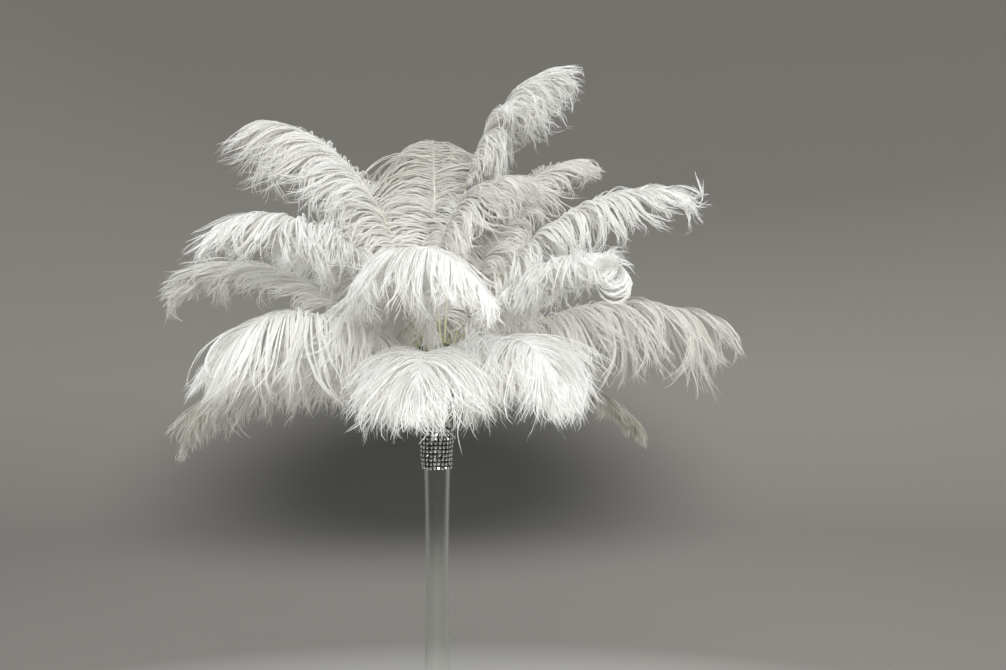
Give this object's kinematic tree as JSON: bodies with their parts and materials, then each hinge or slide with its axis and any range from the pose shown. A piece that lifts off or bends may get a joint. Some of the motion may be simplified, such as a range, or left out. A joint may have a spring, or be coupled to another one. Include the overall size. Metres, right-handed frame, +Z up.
{
  "type": "ostrich plume centrepiece in a tall vase",
  "caption": "White ostrich plumes arching out of a foam ball on a tall slim clear glass vase, with a rhinestone mesh band round the neck",
  "frame": {"origin": "centre of the flat underside of the vase's foot", "axes": "+Z is up along the vase, +X is to the right and +Y is to the back, seen from the front"},
  "size_m": [0.7245, 0.6871, 1.0613],
  "materials": {
    "glass": "clear smooth glass",
    "rhinestones": "small faceted stones in silver cups",
    "foam": "matt green floral foam",
    "plume": "soft white downy barbs on a pale shaft"
  },
  "bodies": {
    "root": {"glass_vase": "glass", "rhinestone_band": "rhinestones", "foam_ball": "foam", "feather_crown_right_tall": "plume", "feather_crown_centre_back": "plume", "feather_crown_left": "plume", "feather_crown_right_back": "plume", "feather_crown_right_inner": "plume", "feather_crown_back": "plume", "feather_mid_right_long": "plume", "feather_mid_right_curl": "plume", "feather_mid_left_front": "plume", "feather_mid_left_back": "plume", "feather_mid_back_left": "plume", "feather_mid_back_right": "plume", "feather_front_crest": "plume", "feather_low_left_front": "plume", "feather_low_left_back": "plume", "feather_low_right": "plume", "feather_low_right_back": "plume", "feather_low_back_left": "plume", "feather_low_back": "plume", "feather_low_back_right": "plume", "feather_front_centre": "plume", "feather_front_right": "plume"}
  },
  "joints": []
}
